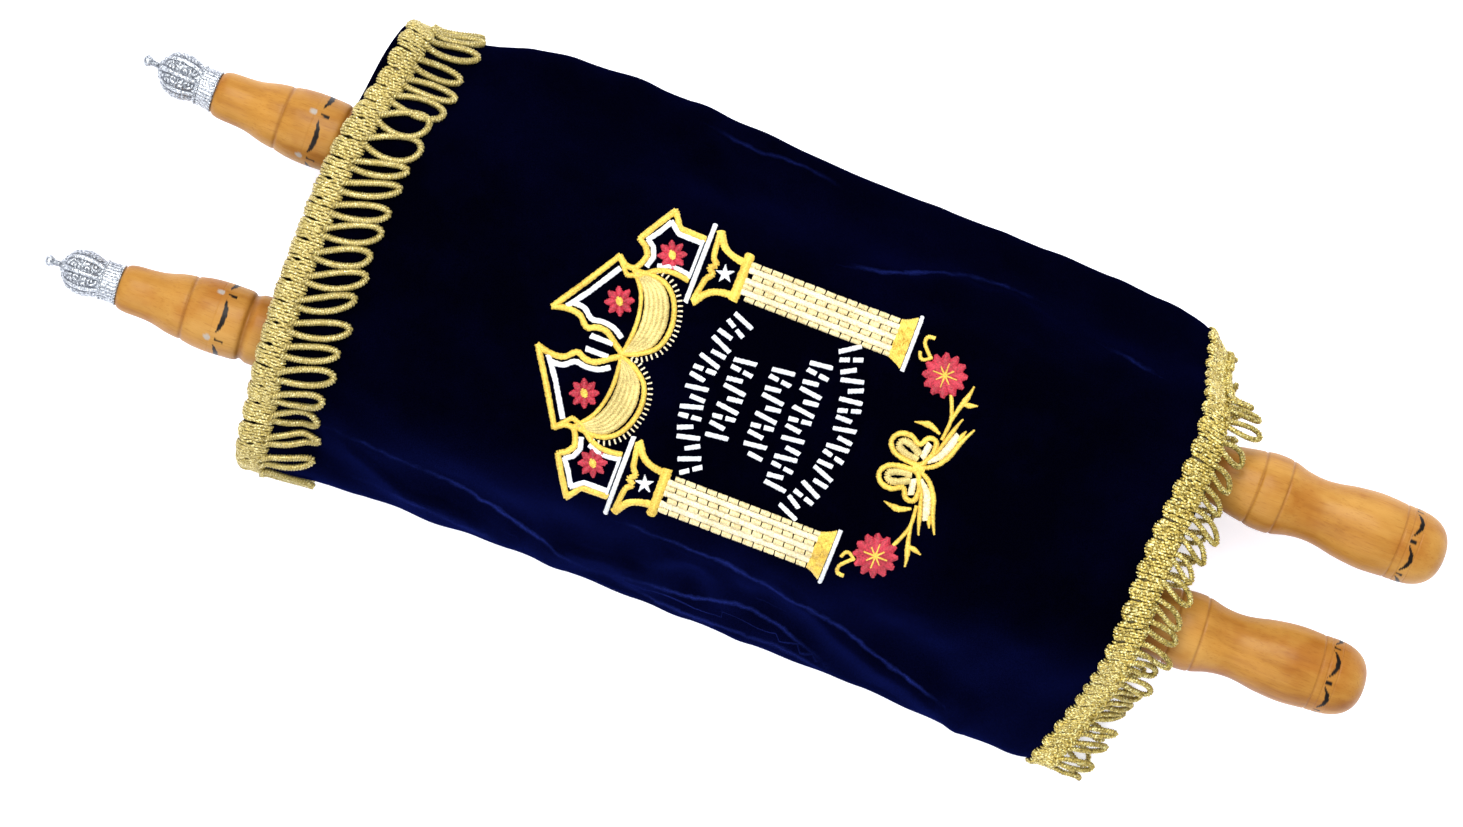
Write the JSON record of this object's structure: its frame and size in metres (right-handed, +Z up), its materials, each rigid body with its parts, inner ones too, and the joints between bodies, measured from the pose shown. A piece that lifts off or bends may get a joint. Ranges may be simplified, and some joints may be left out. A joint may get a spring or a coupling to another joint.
{
  "type": "torah scroll",
  "caption": "Small dressed torah scroll lying flat: turned wooden rollers with silver crowns, parchment rolls, and a velvet mantle with embroidery and gold fringe.",
  "frame": {"origin": "on the table under the middle of the whole scroll's box", "axes": "+X from the crowned ends to the lower handles, +Y to the scroll's right as its front is read, +Z up out of its embroidered front"},
  "size_m": [0.4692, 0.1694, 0.0608],
  "materials": {
    "velvet": "matt pile velvet, navy",
    "gold_fringe": "metallic gold thread",
    "parchment": "matt cream sheet, wound",
    "wood": "lacquered, honey coloured",
    "silver": "silver plated"
  },
  "bodies": {
    "root": {"mantle": "velvet", "top_fringe": "gold_fringe", "bottom_fringe": "gold_fringe", "parchment": "parchment", "right_roller": "wood", "left_roller": "wood", "right_crown": "silver", "left_crown": "silver"}
  },
  "joints": []
}
